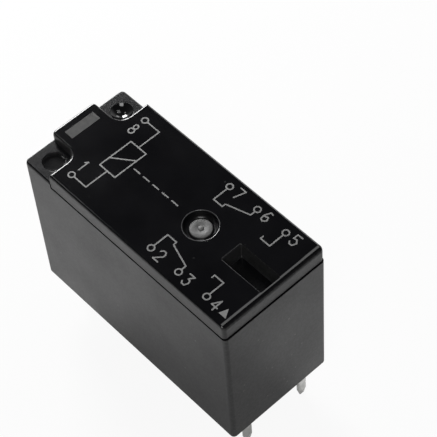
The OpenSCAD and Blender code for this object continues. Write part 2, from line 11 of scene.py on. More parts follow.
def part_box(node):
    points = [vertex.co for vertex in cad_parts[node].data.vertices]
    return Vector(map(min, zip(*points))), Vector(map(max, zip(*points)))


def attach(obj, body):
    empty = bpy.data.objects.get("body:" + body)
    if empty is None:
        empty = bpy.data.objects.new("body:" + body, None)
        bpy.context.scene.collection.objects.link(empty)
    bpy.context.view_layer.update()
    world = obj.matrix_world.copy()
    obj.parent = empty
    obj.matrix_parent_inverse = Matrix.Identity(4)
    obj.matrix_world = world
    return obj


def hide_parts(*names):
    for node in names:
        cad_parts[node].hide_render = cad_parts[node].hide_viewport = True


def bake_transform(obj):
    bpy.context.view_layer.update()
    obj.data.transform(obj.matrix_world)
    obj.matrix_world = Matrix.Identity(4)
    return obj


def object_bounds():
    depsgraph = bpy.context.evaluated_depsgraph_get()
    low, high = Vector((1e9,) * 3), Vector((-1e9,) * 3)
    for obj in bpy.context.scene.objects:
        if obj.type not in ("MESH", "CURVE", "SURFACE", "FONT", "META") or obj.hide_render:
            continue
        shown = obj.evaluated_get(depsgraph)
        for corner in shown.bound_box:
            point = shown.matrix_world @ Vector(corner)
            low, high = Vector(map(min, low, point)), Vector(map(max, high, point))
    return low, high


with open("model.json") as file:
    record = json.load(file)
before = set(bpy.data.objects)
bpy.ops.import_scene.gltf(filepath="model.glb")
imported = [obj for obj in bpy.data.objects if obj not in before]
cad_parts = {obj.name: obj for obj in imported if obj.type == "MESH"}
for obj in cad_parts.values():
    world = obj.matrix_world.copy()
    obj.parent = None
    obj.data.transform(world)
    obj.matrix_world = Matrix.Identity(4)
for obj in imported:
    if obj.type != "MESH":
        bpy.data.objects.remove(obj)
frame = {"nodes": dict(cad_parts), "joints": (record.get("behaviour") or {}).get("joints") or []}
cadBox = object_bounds()
mm = 0.001
sides = {"front": -1, "rear": 1}
print("frame loaded:", len(frame["nodes"]), "nodes")

scene = bpy.context.scene
scene.view_settings.view_transform = "Standard"


# Node helpers

def emptyTree(owner):
    owner.use_nodes = True
    owner.node_tree.nodes.clear()
    return owner.node_tree


def addNode(tree, kind, inputs=None, **settings):
    node = tree.nodes.new(kind)
    for name, value in settings.items():
        setattr(node, name, value)
    for name, value in (inputs or {}).items():
        if isinstance(value, bpy.types.NodeSocket):
            tree.links.new(value, node.inputs[name])
        else:
            node.inputs[name].default_value = value
    return node


def calc(tree, operation, a, b=0.0, clamp=False):
    node = addNode(tree, "ShaderNodeMath", {0: a, 1: b}, operation=operation, use_clamp=clamp)
    return node.outputs[0]


def times(tree, a, b):
    return calc(tree, "MULTIPLY", a, b)


def vectorCalc(tree, operation, a, b):
    return addNode(tree, "ShaderNodeVectorMath", {0: a, 1: b}, operation=operation).outputs["Value"]


def remap(tree, value, low, high, toLow=0.0, toHigh=1.0, smooth=False):
    inputs = {"Value": value, "From Min": low, "From Max": high, "To Min": toLow, "To Max": toHigh}
    kind = "SMOOTHSTEP" if smooth else "LINEAR"
    return addNode(tree, "ShaderNodeMapRange", inputs, interpolation_type=kind).outputs["Result"]


def mixColor(tree, factor, a, b):
    return addNode(tree, "ShaderNodeMix", {0: factor, 6: a, 7: b}, data_type="RGBA").outputs[2]


def mixValue(tree, factor, a, b):
    return addNode(tree, "ShaderNodeMix", {0: factor, 2: a, 3: b}).outputs[0]


def objectPoint(tree):
    return addNode(tree, "ShaderNodeTexCoord").outputs["Object"]


def noise(tree, scale, detail=2.0, roughness=0.5):
    inputs = {"Vector": objectPoint(tree), "Scale": scale, "Detail": detail, "Roughness": roughness}
    return addNode(tree, "ShaderNodeTexNoise", inputs).outputs["Fac"]


def newGroup(name, inputs, output):
    group = bpy.data.node_groups.new(name, "ShaderNodeTree")
    for label, value in inputs.items():
        socket = group.interface.new_socket(label, in_out="INPUT", socket_type="NodeSocketFloat")
        socket.default_value = value
    group.interface.new_socket(output, in_out="OUTPUT", socket_type="NodeSocketFloat")
    return group, group.nodes.new("NodeGroupInput").outputs, group.nodes.new("NodeGroupOutput").inputs


# Effects that several finishes share; a fineness is in features per metre

effectShape = {
    "lumpShare": 0.6,
    "noiseMiddle": 0.5,
    "edgeTurn": (0.995, 0.9),  # dot product where the rub starts and where it is full
    "edgeBreak": (0.35, 0.7),
    "speckPick": (0.82, 0.9),
    "streakFade": 0.25,
}


def makeGrain(shape):
    group, given, result = newGroup("mouldGrain", {"Fineness": 9000.0, "Lumps": 1500.0}, "Height")
    fine = noise(group, given["Fineness"], detail=3.0, roughness=0.6)
    lumps = times(group, noise(group, given["Lumps"]), shape["lumpShare"])
    group.links.new(calc(group, "ADD", fine, lumps), result["Height"])
    return group


def makeMottle(shape):
    group, given, result = newGroup("softMottle", {"Fineness": 300.0, "Spread": 0.2}, "Mask")
    cloud = noise(group, given["Fineness"], detail=4.0, roughness=0.55)
    low = calc(group, "SUBTRACT", shape["noiseMiddle"], given["Spread"])
    high = calc(group, "ADD", shape["noiseMiddle"], given["Spread"])
    group.links.new(remap(group, cloud, low, high, smooth=True), result["Mask"])
    return group


def makeEdgeRub(shape):
    group, given, result = newGroup("edgeRub", {"Reach": 0.12 * mm, "Breakup": 1800.0}, "Mask")
    rounded = addNode(group, "ShaderNodeBevel", {"Radius": given["Reach"]}, samples=6).outputs["Normal"]
    plain = addNode(group, "ShaderNodeNewGeometry").outputs["Normal"]
    edge = remap(group, vectorCalc(group, "DOT_PRODUCT", rounded, plain), *shape["edgeTurn"])
    broken = remap(group, noise(group, given["Breakup"], detail=3.0), *shape["edgeBreak"])
    group.links.new(calc(group, "MULTIPLY", edge, broken, clamp=True), result["Mask"])
    return group


def makeSpecks(shape):
    group, given, result = newGroup("dustSpecks", {"Fineness": 1400.0, "Size": 0.1}, "Mask")
    inputs = {"Vector": objectPoint(group), "Scale": given["Fineness"]}
    cells = addNode(group, "ShaderNodeTexVoronoi", inputs).outputs
    tint = addNode(group, "ShaderNodeSeparateColor", {0: cells["Color"]}).outputs[0]
    chosen = remap(group, tint, *shape["speckPick"])
    near = calc(group, "LESS_THAN", cells["Distance"], given["Size"])
    group.links.new(times(group, near, chosen), result["Mask"])
    return group


def makeStreaks(shape):
    group, given, result = newGroup("fineStreaks", {"Along": 300.0, "Across": 12000.0, "Cut": 0.5}, "Mask")
    inputs = {0: given["Along"], 1: given["Across"], 2: given["Across"]}
    stretch = addNode(group, "ShaderNodeCombineXYZ", inputs).outputs[0]
    inputs = {"Vector": objectPoint(group), "Scale": stretch}
    point = addNode(group, "ShaderNodeMapping", inputs).outputs["Vector"]
    inputs = {"Vector": point, "Scale": 1.0, "Detail": 3.0}
    lines = addNode(group, "ShaderNodeTexNoise", inputs).outputs["Fac"]
    high = calc(group, "ADD", given["Cut"], shape["streakFade"])
    group.links.new(remap(group, lines, given["Cut"], high), result["Mask"])
    return group


effects = {
    "grain": makeGrain(effectShape),
    "mottle": makeMottle(effectShape),
    "edges": makeEdgeRub(effectShape),
    "specks": makeSpecks(effectShape),
    "streaks": makeStreaks(effectShape),
}


def effect(tree, name, **values):
    node = tree.nodes.new("ShaderNodeGroup")
    node.node_tree = effects[name]
    for label, value in values.items():
        node.inputs[label].default_value = value
    return node.outputs[0]


def newMaterial(name, **plain):
    material = bpy.data.materials.new(name)
    tree = emptyTree(material)
    shader = addNode(tree, "ShaderNodeBsdfPrincipled")
    for label, value in plain.items():
        shader.inputs[label.replace("_", " ")].default_value = value
    output = addNode(tree, "ShaderNodeOutputMaterial")
    tree.links.new(shader.outputs["BSDF"], output.inputs["Surface"])
    return material, tree, shader


def feed(tree, shader, **sockets):
    for label, socket in sockets.items():
        tree.links.new(socket, shader.inputs[label.replace("_", " ")])


def bumped(tree, height, strength, depth):
    inputs = {"Height": height, "Strength": strength, "Distance": depth}
    return addNode(tree, "ShaderNodeBump", inputs).outputs["Normal"]


print("shared effects made:", len(effects))


# Finishes

coverLook = {
    # top is the colour of upward faces, side the lighter colour of the walls: partly the polished top and
    # textured walls, partly painted sheen on the walls and painted shade on the top
    "top": ((0.0014, 0.0014, 0.002, 1), (0.0028, 0.0028, 0.0035, 1)),
    "side": ((0.012, 0.012, 0.0125, 1), (0.02, 0.02, 0.0205, 1)),
    "sideFleck": (0.05, 0.05, 0.0505, 1),
    "fleckShare": 0.45,
    "rubbed": (0.03, 0.03, 0.032, 1),
    "rubShare": 0.2,
    "dust": (0.16, 0.16, 0.155, 1),
    "dustShare": (0.7, 0.1),  # on the walls, on top
    "sideRoughness": (0.32, 0.42),
    "ledgeRoughness": 0.2,
    "topRoughness": (0.09, 0.14),
    "polishDepth": 0.4 * mm,
    "gateLight": (0.1, 0.1, 0.098, 1),
    "gateDark": (0.016, 0.016, 0.017, 1),
    # painted highlight: a lighter ring on the rolled edge of the gate recess, standing in for its glint
    "gateRimHighlight": (0.05, 0.05, 0.052, 1),
    "gateRimReach": (1.79 * mm, 1.87 * mm),
    "gateRoughness": 0.5,
    "gateGrooveRoughness": 0.28,
    "gateFromEnd": 10.05 * mm,
    "gateDiscRadius": 1.14 * mm,
    "gateDiscDrop": 0.45 * mm,
    "gateTorn": (0.4 * mm, 0.6 * mm),
    "gateEven": 0.6,
    "grainDepth": 0.012 * mm,
    "grainBump": 0.35,
    "grainOnTop": 0.12,
    "grainOnGate": 4.0,
    "upward": (0.5, 0.9),  # from a wall to the top, by the normal's height
    "mottle": {"Fineness": 260.0, "Spread": 0.22},
    "flecks": {"Fineness": 3400.0, "Spread": 0.12},
    "specks": {"Fineness": 900.0, "Size": 0.09},
    "torn": {"Fineness": 2200.0, "Spread": 0.3},
    "smear": {"Fineness": 140.0, "Spread": 0.3},
    "grain": {"Fineness": 7000.0, "Lumps": 1100.0},
}


def coverMasks(tree, look):
    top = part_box("cover")[1]
    gate = Vector((top.x - look["gateFromEnd"], 0, top.z - look["gateDiscDrop"]))
    coords = addNode(tree, "ShaderNodeTexCoord").outputs
    facing = addNode(tree, "ShaderNodeSeparateXYZ", {0: coords["Normal"]}).outputs["Z"]
    level = addNode(tree, "ShaderNodeSeparateXYZ", {0: coords["Object"]}).outputs["Z"]
    upward = remap(tree, facing, *look["upward"], smooth=True)
    polish = remap(tree, level, top.z - 2 * look["polishDepth"], top.z - look["polishDepth"])
    fromGate = vectorCalc(tree, "DISTANCE", coords["Object"], gate)
    rimLow, rimHigh = look["gateRimReach"]
    inRim = calc(tree, "LESS_THAN", fromGate, rimHigh)
    return {
        "upward": upward,
        "polished": times(tree, upward, polish),
        "fromGate": fromGate,
        "onGate": calc(tree, "LESS_THAN", fromGate, look["gateDiscRadius"]),
        "inRim": inRim,
        # mask of the painted highlight ring on the gate recess's rolled edge
        "rimHighlight": times(tree, inRim, calc(tree, "GREATER_THAN", fromGate, rimLow)),
    }


def coverColor(tree, look, masks):
    mottle = effect(tree, "mottle", **look["mottle"])
    flecks = times(tree, effect(tree, "mottle", **look["flecks"]), look["fleckShare"])
    side = mixColor(tree, flecks, mixColor(tree, mottle, *look["side"]), look["sideFleck"])
    # painted shade: the gate recess's groove walls take the darker top colour, darkening the recess
    plain = calc(tree, "MAXIMUM", masks["upward"], masks["inRim"])
    # upward faces get the darker top colour and walls the lighter side colour: partly the finish, partly
    # painted sheen and shade
    base = mixColor(tree, plain, side, mixColor(tree, mottle, *look["top"]))
    rub = times(tree, effect(tree, "edges"), look["rubShare"])
    worn = mixColor(tree, rub, base, look["rubbed"])
    dustShare = mixValue(tree, masks["upward"], *look["dustShare"])
    specks = times(tree, effect(tree, "specks", **look["specks"]), dustShare)
    dusty = mixColor(tree, specks, worn, look["dust"])
    outward = remap(tree, masks["fromGate"], *look["gateTorn"])
    even = times(tree, outward, look["gateEven"])
    torn = calc(tree, "MAXIMUM", effect(tree, "mottle", **look["torn"]), even)
    gate = mixColor(tree, torn, look["gateDark"], look["gateLight"])
    # paints the highlight ring onto the gate recess's rolled edge
    rimHighlighted = mixColor(tree, masks["rimHighlight"], dusty, look["gateRimHighlight"])
    return mixColor(tree, masks["onGate"], rimHighlighted, gate)


def coverRoughness(tree, look, masks):
    smear = effect(tree, "mottle", **look["smear"])
    side = remap(tree, smear, 0.0, 1.0, *look["sideRoughness"])
    top = remap(tree, smear, 0.0, 1.0, *look["topRoughness"])
    low = mixValue(tree, masks["upward"], side, look["ledgeRoughness"])
    plain = mixValue(tree, masks["polished"], low, top)
    gate = mixValue(tree, masks["onGate"], look["gateGrooveRoughness"], look["gateRoughness"])
    return mixValue(tree, masks["inRim"], plain, gate)


def coverNormal(tree, look, masks):
    grain = effect(tree, "grain", **look["grain"])
    plain = remap(tree, masks["polished"], 0.0, 1.0, 1.0, look["grainOnTop"])
    strength = calc(tree, "ADD", plain, times(tree, masks["onGate"], look["grainOnGate"]))
    return bumped(tree, times(tree, grain, strength), look["grainBump"], look["grainDepth"])


def makeCoverFinish(look):
    material, tree, shader = newMaterial("coverPlastic", IOR=1.5)
    masks = coverMasks(tree, look)
    color = coverColor(tree, look, masks)
    rough = coverRoughness(tree, look, masks)
    feed(tree, shader, Base_Color=color, Roughness=rough, Normal=coverNormal(tree, look, masks))
    return material


plasticLooks = {
    "basePlastic": {
        "low": (0.013, 0.013, 0.014, 1), "high": (0.022, 0.022, 0.023, 1),
        "rough": (0.3, 0.42), "grain": {"Fineness": 5000.0, "Lumps": 1000.0},
    },
    "bobbinPlastic": {
        "low": (0.045, 0.06, 0.055, 1), "high": (0.075, 0.09, 0.083, 1),
        "rough": (0.4, 0.55), "grain": {"Fineness": 3500.0, "Lumps": 700.0},
    },
    "cardPlastic": {
        "low": (0.36, 0.30, 0.20, 1), "high": (0.46, 0.40, 0.29, 1),
        "rough": (0.38, 0.5), "grain": {"Fineness": 4500.0, "Lumps": 900.0},
    },
}

plasticFinish = {
    "mottle": {"Fineness": 420.0, "Spread": 0.22},
    "smear": {"Fineness": 900.0, "Spread": 0.3},
    "rubbed": (0.3, 0.3, 0.29, 1),
    "rubShare": 0.35,
    "bump": (0.3, 0.015 * mm),  # strength and depth
}


def makePlastic(name, look, finish):
    material, tree, shader = newMaterial(name, IOR=1.5)
    mottle = effect(tree, "mottle", **finish["mottle"])
    base = mixColor(tree, mottle, look["low"], look["high"])
    rub = times(tree, effect(tree, "edges"), finish["rubShare"])
    worn = mixColor(tree, rub, base, finish["rubbed"])
    rough = remap(tree, effect(tree, "mottle", **finish["smear"]), 0.0, 1.0, *look["rough"])
    normal = bumped(tree, effect(tree, "grain", **look["grain"]), *finish["bump"])
    feed(tree, shader, Base_Color=worn, Roughness=rough, Normal=normal)
    return material


def clouded(tree, cloud, look):
    base = mixColor(tree, cloud, look["low"], look["high"])
    return base, remap(tree, cloud, 0.0, 1.0, *look["rough"])


resinLook = {
    "low": (0.003, 0.003, 0.0033, 1),
    "high": (0.007, 0.007, 0.0075, 1),
    "rough": (0.06, 0.14),
    "cloud": {"Fineness": 350.0, "Spread": 0.3},
    "bubbles": {"Fineness": 1100.0, "Size": 0.12},
    "bubbleDepth": 0.5,
    "waveFineness": 420.0,
    "bump": (0.5, 0.04 * mm),
}


def makeResin(look):
    material, tree, shader = newMaterial("sealingResin", IOR=1.52)
    base, rough = clouded(tree, effect(tree, "mottle", **look["cloud"]), look)
    bubbles = times(tree, effect(tree, "specks", **look["bubbles"]), look["bubbleDepth"])
    waves = calc(tree, "SUBTRACT", noise(tree, look["waveFineness"], detail=1.0), bubbles)
    feed(tree, shader, Base_Color=base, Roughness=rough, Normal=bumped(tree, waves, *look["bump"]))
    return material


metalLooks = {
    "softIron": {
        "low": (0.50, 0.50, 0.49, 1), "high": (0.62, 0.61, 0.59, 1),
        "rough": (0.26, 0.42), "along": 500.0,
    },
    "springBronze": {
        "low": (0.62, 0.40, 0.19, 1), "high": (0.76, 0.52, 0.29, 1),
        "rough": (0.2, 0.34), "along": 250.0,
    },
    "contactSilver": {
        "low": (0.80, 0.79, 0.76, 1), "high": (0.90, 0.89, 0.87, 1),
        "rough": (0.14, 0.26), "along": 2500.0,
    },
    "copperWire": {
        "low": (0.42, 0.13, 0.045, 1), "high": (0.60, 0.24, 0.09, 1),
        "rough": (0.22, 0.34), "along": 900.0,
    },
}

metalFinish = {
    "mottle": {"Fineness": 600.0, "Spread": 0.25},
    "streakShare": 0.6,
    "mottleShare": 0.4,
    "bump": (0.15, 0.004 * mm),
}


def makeMetal(name, look, finish):
    material, tree, shader = newMaterial(name, Metallic=1.0)
    mottle = effect(tree, "mottle", **finish["mottle"])
    streaks = effect(tree, "streaks", Along=look["along"])
    base = mixColor(tree, mottle, look["low"], look["high"])
    lines = times(tree, streaks, finish["streakShare"])
    patches = times(tree, mottle, finish["mottleShare"])
    rough = remap(tree, calc(tree, "ADD", lines, patches), 0.0, 1.0, *look["rough"])
    feed(tree, shader, Base_Color=base, Roughness=rough, Normal=bumped(tree, streaks, *finish["bump"]))
    return material


tinLook = {
    "low": (0.60, 0.60, 0.58, 1),
    "high": (0.80, 0.80, 0.78, 1),
    "rough": (0.12, 0.3),
    "cloud": {"Fineness": 1300.0, "Spread": 0.22},
    "lumps": {"Fineness": 6000.0, "Lumps": 900.0},
    "bump": (0.35, 0.03 * mm),
}


def makeTinned(look):
    material, tree, shader = newMaterial("tinnedTerminal", Metallic=1.0)
    base, rough = clouded(tree, effect(tree, "mottle", **look["cloud"]), look)
    normal = bumped(tree, effect(tree, "grain", **look["lumps"]), *look["bump"])
    feed(tree, shader, Base_Color=base, Roughness=rough, Normal=normal)
    return material


inkLooks = {
    "printInk": {"low": (0.13, 0.13, 0.13, 1), "high": (0.19, 0.19, 0.187, 1), "rough": (0.26, 0.36)},
    "barInk": {"low": (0.03, 0.03, 0.03, 1), "high": (0.04, 0.04, 0.039, 1), "rough": (0.2, 0.27)},
}

inkThickness = {"Fineness": 2600.0, "Spread": 0.35}


def makeInk(name, look, thickness):
    material, tree, shader = newMaterial(name, IOR=1.45)
    base, rough = clouded(tree, effect(tree, "mottle", **thickness), look)
    feed(tree, shader, Base_Color=base, Roughness=rough)
    return material


finishes = {
    "coverPlastic": makeCoverFinish(coverLook),
    "sealingResin": makeResin(resinLook),
    "tinnedTerminal": makeTinned(tinLook),
}
finishes.update({name: makePlastic(name, look, plasticFinish) for name, look in plasticLooks.items()})
finishes.update({name: makeMetal(name, look, metalFinish) for name, look in metalLooks.items()})
finishes.update({name: makeInk(name, look, inkThickness) for name, look in inkLooks.items()})
print("finishes made:", len(finishes))


# Mesh helpers

meshRules = {
    "sharpTurn": math.radians(35),
    "flatTurn": math.radians(0.4),
    "weld": 0.0005 * mm,
    "leastRadius": 0.004 * mm,
    "tubeTilt": (0.3, 0.2, 0.93),  # a direction that no lead runs along
}


def linked(name, data):
    thing = bpy.data.objects.new(name, data)
    scene.collection.objects.link(thing)
    return thing


def cadMesh(node):
    bm = bmesh.new()
    bm.from_mesh(frame["nodes"][node].data)
    bmesh.ops.remove_doubles(bm, verts=bm.verts, dist=meshRules["weld"])
    bmesh.ops.dissolve_limit(bm, angle_limit=meshRules["flatTurn"], verts=bm.verts, edges=bm.edges)
    return bm


def softEdges(bm, width, segments):
    shared = [e for e in bm.edges if len(e.link_faces) == 2]
    edges = [e for e in shared if e.calc_face_angle(0) > meshRules["sharpTurn"]]
    if edges:
        bmesh.ops.bevel(
            bm, geom=edges, offset=width, offset_type="OFFSET", segments=segments,
            profile=0.5, affect="EDGES", clamp_overlap=True,
        )


def addPiece(name, bm, finish, body, replaced=()):
    mesh = bpy.data.meshes.new(name)
    bmesh.ops.recalc_face_normals(bm, faces=bm.faces)
    bm.to_mesh(mesh)
    bm.free()
    mesh.shade_smooth()
    mesh.set_sharp_from_angle(angle=meshRules["sharpTurn"])
    mesh.materials.append(finishes[finish])
    piece = linked(name, mesh)
    piece.modifiers.new("evenNormals", "WEIGHTED_NORMAL").keep_sharp = True
    if replaced:
        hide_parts(*replaced)
    if body:
        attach(piece, body)
    return piece


def prism(points, faces, lows, highs):
    bm = bmesh.new()
    under = [bm.verts.new((p[0], p[1], z)) for p, z in zip(points, lows)]
    upper = [bm.verts.new((p[0], p[1], z)) for p, z in zip(points, highs)]
    around = [(a, b) for f in faces for a, b in zip(f, f[1:] + f[:1])]
    paired = set(around)
    for f in faces:
        bm.faces.new([upper[i] for i in f])
        bm.faces.new([under[i] for i in reversed(f)])
    for a, b in around:
        if (b, a) not in paired:
            bm.faces.new([under[a], under[b], upper[b], upper[a]])
    bmesh.ops.delete(bm, geom=[v for v in bm.verts if not v.link_faces], context="VERTS")
    return bm


def circle(turns):
    angles = [2 * math.pi * i / turns for i in range(turns)]
    return [(math.cos(a), math.sin(a)) for a in angles]


def lathe(profile, centre, turns=48):
    bm = bmesh.new()
    rings = []
    for radius, height in profile:
        around = circle(turns) if radius else [(0, 0)]  # one point on the axis
        spots = [Vector((radius * c, radius * s, height)) for c, s in around]
        rings.append([bm.verts.new(centre + spot) for spot in spots])
    for low, high in zip(rings, rings[1:]):
        for i in range(turns):
            j = i + 1
            corners = [low[i % len(low)], low[j % len(low)], high[j % len(high)], high[i % len(high)]]
            distinct = list(dict.fromkeys(corners))
            if len(distinct) > 2:
                bm.faces.new(distinct)
    return bm


def tube(bm, path, radius, turns=10):
    rings = []
    for i, point in enumerate(path):
        along = (path[min(i + 1, len(path) - 1)] - path[max(i - 1, 0)]).normalized()
        aside = along.cross(Vector(meshRules["tubeTilt"])).normalized()
        upward = along.cross(aside)
        spokes = [aside * c + upward * s for c, s in circle(turns)]
        rings.append([bm.verts.new(point + radius * spoke) for spoke in spokes])
    for low, high in zip(rings, rings[1:]):
        for k in range(turns):
            bm.faces.new([low[k], low[(k + 1) % turns], high[(k + 1) % turns], high[k]])
    bm.faces.new(reversed(rings[0]))
    bm.faces.new(rings[-1])


# Cover

coverShape = {
    "corner": 0.45 * mm,
    "rimRoll": 0.08 * mm,
    "bandInset": 0.12 * mm,
    "bandInsetSides": 0.05 * mm,
    "bandCorner": 0.4 * mm,
    "bandHeight": 2.0 * mm,
    "bandFoot": 0.03 * mm,
    "grooveHeight": 0.14 * mm,
    "grooveDepth": 0.15 * mm,
    "capSteps": 12,
    # width and height of each top edge's roll
    "endRoll": (0.75 * mm, 0.55 * mm),
    "sideRoll": (0.27 * mm, 0.3 * mm),
    "notchEdgeRoll": (0.27 * mm, 0.42 * mm),
    "tongueEndRoll": (0.26 * mm, 0.3 * mm),
    "tongueSideRoll": (0.26 * mm, 0.4 * mm),
    "notchLength": 3.85 * mm,
    "notchDepth": 1.2 * mm,
    "notchRoll": (0.3 * mm, 0.3 * mm),
    "notchEndRoll": (0.08 * mm, 0.08 * mm),
    "notchCorner": 1.3 * mm,
    "notchLip": 0.12 * mm,
    "tongueWidth": 5.5 * mm,
    "tongueInset": -0.06 * mm,
    "tongueTip": 0.45 * mm,
    "wall": 0.7 * mm,
    "roof": 1.2 * mm,
    "lap": 0.4 * mm,
    "overCut": 0.5 * mm,
}

pocketShape = {
    "length": 5.2 * mm,
    "width": 2.45 * mm,
    "depth": 2.0 * mm,
    "fromEnd": 0.65 * mm,
    "wall": 0.6 * mm,
    "corner": 0.12 * mm,
    "edgeRoll": 0.1 * mm,
}

gateShape = {
    "edgeRoll": 0.1 * mm,
    "pipRadius": 0.3 * mm,
    "pipHeight": 0.1 * mm,
    "pipAngles": (0.4, 0.8, 1.2),
    "pipTurns": 24,
    # recess in section: radius and drop below the top face, from the middle outward
    "section": [
        (0.0, 0.5), (0.46, 0.5), (0.62, 0.46), (1.01, 0.45), (1.09, 0.48), (1.14, 0.56), (1.18, 0.68),
        (1.27, 0.74), (1.4, 0.73), (1.52, 0.63), (1.62, 0.44), (1.69, 0.24), (1.73, 0.1),
    ],
}

wellShape = {
    "fromNotchEnd": 1.75 * mm,
    "fromTongue": 1.65 * mm,
    "radius": 1.15 * mm,
    "depth": 0.65 * mm,
    "edgeRoll": 0.06 * mm,
    "gap": 0.01 * mm,
    "rimDrop": {"front": 0.3 * mm, "rear": 0.03 * mm},
    "dishDepth": {"front": 0.05 * mm, "rear": 0.5 * mm},
    "dishPower": {"front": 6.0, "rear": 2.0},
    "dishSteps": 12,
}


def boxCorners(x0, x1, y0, y1, radius):
    return [(x1, y0, radius), (x1, y1, radius), (x0, y1, radius), (x0, y0, radius)]


def cornerRing(corners, inset, height, steps=6):
    insets = inset if isinstance(inset, list) else [inset] * len(corners)  # one for each edge
    ring = []
    for i, (x, y, radius) in enumerate(corners):
        here = Vector((x, y))
        before = (here - Vector(corners[i - 1][:2])).normalized()
        after = (Vector(corners[(i + 1) % len(corners)][:2]) - here).normalized()
        inBefore = Vector((-before.y, before.x))
        inAfter = Vector((-after.y, after.x))
        turn = 1 if before.x * after.y > before.y * after.x else -1  # -1 at an inner corner
        reach = max(radius - turn * (insets[i - 1] + insets[i]) / 2, meshRules["leastRadius"])
        centre = here + (insets[i - 1] + turn * reach) * inBefore + (insets[i] + turn * reach) * inAfter
        for k in range(steps + 1):
            angle = math.pi / 2 * k / steps
            spoke = math.cos(angle) * inBefore + math.sin(angle) * inAfter
            place = centre - turn * reach * spoke
            ring.append((place.x, place.y, height))
    return ring


def rolledRings(corners, edge, rolls, inward=1, upward=1, steps=7):
    if not isinstance(rolls, list):
        rolls = [(rolls, rolls)] * len(corners)
    tallest = max(height for width, height in rolls)
    rings = []
    for k in range(steps + 1):
        drop = tallest * (1 - math.sin(math.pi / 2 * k / steps))
        climbs = [max(1 - drop / height, 0) for width, height in rolls]
        inset = [inward * width * (1 - math.sqrt(1 - c * c)) for (width, height), c in zip(rolls, climbs)]
        rings.append(cornerRing(corners, inset, edge - upward * drop))
    return rings


def loft(rings):
    bm = bmesh.new()
    loops = [[bm.verts.new(p) for p in ring] for ring in rings]
    for lower, upper in zip(loops, loops[1:]):
        for i in range(len(lower)):
            j = (i + 1) % len(lower)
            bm.faces.new([lower[i], lower[j], upper[j], upper[i]])
    bm.faces.new(loops[0][::-1])
    bm.faces.new(loops[-1])
    return bm


def blank(bm):
    bmesh.ops.recalc_face_normals(bm, faces=bm.faces)
    mesh = bpy.data.meshes.new("blank")
    bm.to_mesh(mesh)
    bm.free()
    return linked("blank", mesh)


def plainBlock(corners, low, high):
    return blank(loft([cornerRing(corners, 0, z, steps=1) for z in (low, high)]))


def carved(body, steps):
    for operation, tool in steps:
        step = body.modifiers.new(operation, "BOOLEAN")
        step.operation = operation
        step.solver = "EXACT"
        step.object = tool
    shaped = body.evaluated_get(bpy.context.evaluated_depsgraph_get())
    bm = bmesh.new()
    bm.from_mesh(shaped.to_mesh())
    shaped.to_mesh_clear()
    for used in [body] + [tool for operation, tool in steps]:
        bpy.data.objects.remove(used)
    bmesh.ops.remove_doubles(bm, verts=bm.verts, dist=meshRules["weld"])
    return bm


def coverCavity(low, high, notchX, shape):
    wall, half = shape["wall"], shape["tongueWidth"] / 2 - shape["wall"]
    innerX, innerY = high.x - wall, high.y - wall
    ceiling = high.z - shape["roof"]
    lowCeiling = ceiling - shape["notchDepth"]
    stepX, edge = notchX + wall, shape["bandFoot"]
    room = boxCorners(-innerX, innerX, -innerY, innerY, edge)
    loftX, loftY = innerX - edge, innerY - edge  # keeps the two blocks' sides apart
    attic = [
        (loftX, -loftY, edge), (loftX, loftY, edge), (stepX, loftY, edge), (stepX, half, edge),
        (-loftX, half, edge), (-loftX, -half, edge), (stepX, -half, edge), (stepX, -loftY, edge),
    ]
    pocket = pocketShape
    bossX = high.x - pocket["fromEnd"] - pocket["length"] - pocket["wall"]
    bossY = pocket["width"] / 2 + pocket["wall"]
    boss = boxCorners(bossX, high.x, -bossY, bossY, edge)
    bossZ = high.z - pocket["depth"] - pocket["wall"]
    body = plainBlock(room, low.z - shape["overCut"], lowCeiling)
    upper = plainBlock(attic, lowCeiling - shape["lap"], ceiling)
    kept = plainBlock(boss, bossZ, high.z)
    return blank(carved(body, [("UNION", upper), ("DIFFERENCE", kept)]))


def pocketTool(high, shape, overCut):
    x1 = high.x - shape["fromEnd"]
    half = shape["width"] / 2
    corners = boxCorners(x1 - shape["length"], x1, -half, half, shape["corner"])
    floor = high.z - shape["depth"]
    roll = shape["edgeRoll"]
    rings = [cornerRing(corners, roll, floor), cornerRing(corners, 0, floor + roll)]
    rings += rolledRings(corners, high.z, roll, inward=-1)
    return blank(loft(rings + [cornerRing(corners, -roll, high.z + overCut)]))


def roundTool(centre, section, roll, overCut, steps=7, turns=64):
    radius = section[-1][0]
    profile = list(section)
    for k in range(1, steps + 1):
        angle = math.pi / 2 * k / steps
        profile.append((radius + roll * (1 - math.cos(angle)), -roll * (1 - math.sin(angle))))
    profile += [(radius + roll, overCut), (0, overCut)]
    return blank(lathe(profile, centre, turns))


def coverBody(low, high, notchZ, shape):
    outer = boxCorners(low.x, high.x, low.y, high.y, shape["corner"])
    rim = rolledRings(outer, low.z, shape["rimRoll"], upward=-1)
    shelf = [shape[name] for name in ("notchRoll", "notchRoll", "notchEndRoll", "notchRoll")]
    return blank(loft(rim[::-1] + rolledRings(outer, notchZ, shelf)))


def bandCorners(low, high, notchX, shape):
    bandX, bandY = high.x - shape["bandInset"], high.y - shape["bandInsetSides"]
    tongueX, half = low.x + shape["tongueInset"], shape["tongueWidth"] / 2
    return [
        (bandX, -bandY, shape["bandCorner"]), (bandX, bandY, shape["bandCorner"]),
        (notchX, bandY, shape["notchLip"]), (notchX, half, shape["notchCorner"]),
        (tongueX, half, shape["tongueTip"]), (tongueX, -half, shape["tongueTip"]),
        (notchX, -half, shape["notchCorner"]), (notchX, -bandY, shape["notchLip"]),
    ]


